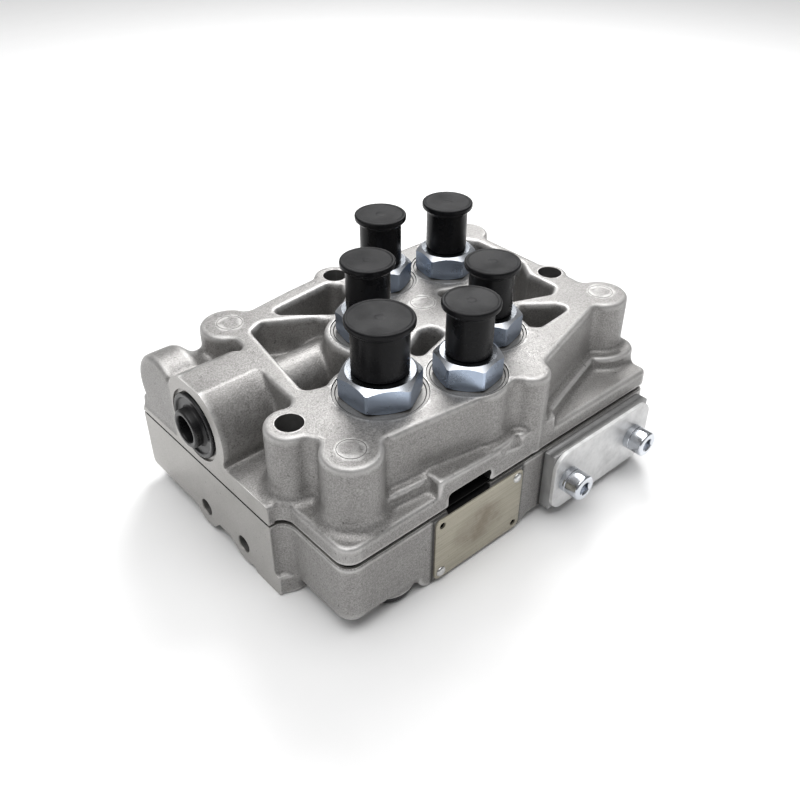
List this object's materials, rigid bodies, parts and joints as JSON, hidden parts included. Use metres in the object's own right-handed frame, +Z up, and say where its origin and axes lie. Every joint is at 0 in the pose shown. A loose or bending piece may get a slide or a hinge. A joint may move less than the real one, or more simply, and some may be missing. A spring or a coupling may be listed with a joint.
{
  "type": "hydraulic signal valve block with capped ports",
  "caption": "Die-cast aluminium hydraulic signal valve block with capped hose adapters, a plugged side port, a nameplate and a front bracket",
  "frame": {"origin": "on the axis of the first mounting hole, at the foot's lower face", "axes": "+X along the block away from the machined port face, +Y from the nameplate side to the rear, +Z up through the deck"},
  "size_m": [0.2134, 0.1669, 0.1193],
  "materials": {
    "cast_aluminium": "as-cast, fine grain",
    "zinc_steel": "bright zinc plate",
    "bright_steel": "ground",
    "spring_steel": "drawn wire, oiled",
    "block_steel": "dark phosphate",
    "nameplate_metal": "brushed, lacquered",
    "black_plastic": "soft moulded, half gloss",
    "seal_rubber": "matt",
    "gasket_sheet": "coated sheet, matt"
  },
  "bodies": {
    "housing": {"upper_housing": "cast_aluminium", "lower_housing": "cast_aluminium", "separator_plate": "block_steel", "upper_gasket": "gasket_sheet", "lower_gasket": "gasket_sheet", "port_adapter_1": "zinc_steel", "port_adapter_2": "zinc_steel", "port_adapter_3": "zinc_steel", "port_adapter_4": "zinc_steel", "port_adapter_5": "zinc_steel", "port_adapter_6": "zinc_steel", "port_seals": "seal_rubber", "channel_plugs": "bright_steel", "shuttle_seats": "bright_steel", "spool_spring": "spring_steel", "spool_retaining_ring": "spring_steel", "nameplate": "nameplate_metal", "nameplate_rivets": "bright_steel", "bracket_block": "block_steel", "bracket_plate": "zinc_steel", "bracket_screws": "zinc_steel", "screw_collars": "zinc_steel", "housing_screws": "zinc_steel"},
    "port_cap_1_body": {"port_cap_1": "black_plastic"},
    "port_cap_2_body": {"port_cap_2": "black_plastic"},
    "port_cap_3_body": {"port_cap_3": "black_plastic"},
    "port_cap_4_body": {"port_cap_4": "black_plastic"},
    "port_cap_5_body": {"port_cap_5": "black_plastic"},
    "port_cap_6_body": {"port_cap_6": "black_plastic"},
    "side_port_plug_body": {"side_port_plug": "black_plastic"},
    "lower_plug_1_body": {"lower_plug_1": "black_plastic"},
    "lower_plug_2_body": {"lower_plug_2": "black_plastic"},
    "lower_plug_3_body": {"lower_plug_3": "black_plastic"},
    "lower_plug_4_body": {"lower_plug_4": "black_plastic"},
    "shuttle_ball_1_body": {"shuttle_ball_1": "bright_steel"},
    "shuttle_ball_2_body": {"shuttle_ball_2": "bright_steel"},
    "signal_spool_body": {"signal_spool": "bright_steel"}
  },
  "joints": [
    {"name": "cap_1_pull_off", "type": "slide", "parent": "housing", "child": "port_cap_1_body", "axis": [0, 0, 1], "range_m": [0, 0.03]},
    {"name": "cap_2_pull_off", "type": "slide", "parent": "housing", "child": "port_cap_2_body", "axis": [0, 0, 1], "range_m": [0, 0.03]},
    {"name": "cap_3_pull_off", "type": "slide", "parent": "housing", "child": "port_cap_3_body", "axis": [0, 0, 1], "range_m": [0, 0.03]},
    {"name": "cap_4_pull_off", "type": "slide", "parent": "housing", "child": "port_cap_4_body", "axis": [0, 0, 1], "range_m": [0, 0.03]},
    {"name": "cap_5_pull_off", "type": "slide", "parent": "housing", "child": "port_cap_5_body", "axis": [0, 0, 1], "range_m": [0, 0.03]},
    {"name": "cap_6_pull_off", "type": "slide", "parent": "housing", "child": "port_cap_6_body", "axis": [0, 0, 1], "range_m": [0, 0.03]},
    {"name": "side_plug_pull_out", "type": "slide", "parent": "housing", "child": "side_port_plug_body", "axis": [-1, 0, 0], "range_m": [0, 0.02]},
    {"name": "lower_plug_1_pull_out", "type": "slide", "parent": "housing", "child": "lower_plug_1_body", "axis": [0, 0, -1], "range_m": [0, 0.016]},
    {"name": "lower_plug_2_pull_out", "type": "slide", "parent": "housing", "child": "lower_plug_2_body", "axis": [0, 0, -1], "range_m": [0, 0.016]},
    {"name": "lower_plug_3_pull_out", "type": "slide", "parent": "housing", "child": "lower_plug_3_body", "axis": [0, 0, -1], "range_m": [0, 0.016]},
    {"name": "lower_plug_4_pull_out", "type": "slide", "parent": "housing", "child": "lower_plug_4_body", "axis": [0, 0, -1], "range_m": [0, 0.016]},
    {"name": "shuttle_ball_1_travel", "type": "slide", "parent": "housing", "child": "shuttle_ball_1_body", "axis": [1, 0, 0], "range_m": [0, 0.004]},
    {"name": "shuttle_ball_2_travel", "type": "slide", "parent": "housing", "child": "shuttle_ball_2_body", "axis": [1, 0, 0], "range_m": [0, 0.004]},
    {"name": "spool_shift", "type": "slide", "parent": "housing", "child": "signal_spool_body", "axis": [1, 0, 0], "range_m": [0, 0.008], "stiffness_N_per_m": 1500, "springref_m": -0.01, "deforming": ["spool_spring"]}
  ]
}
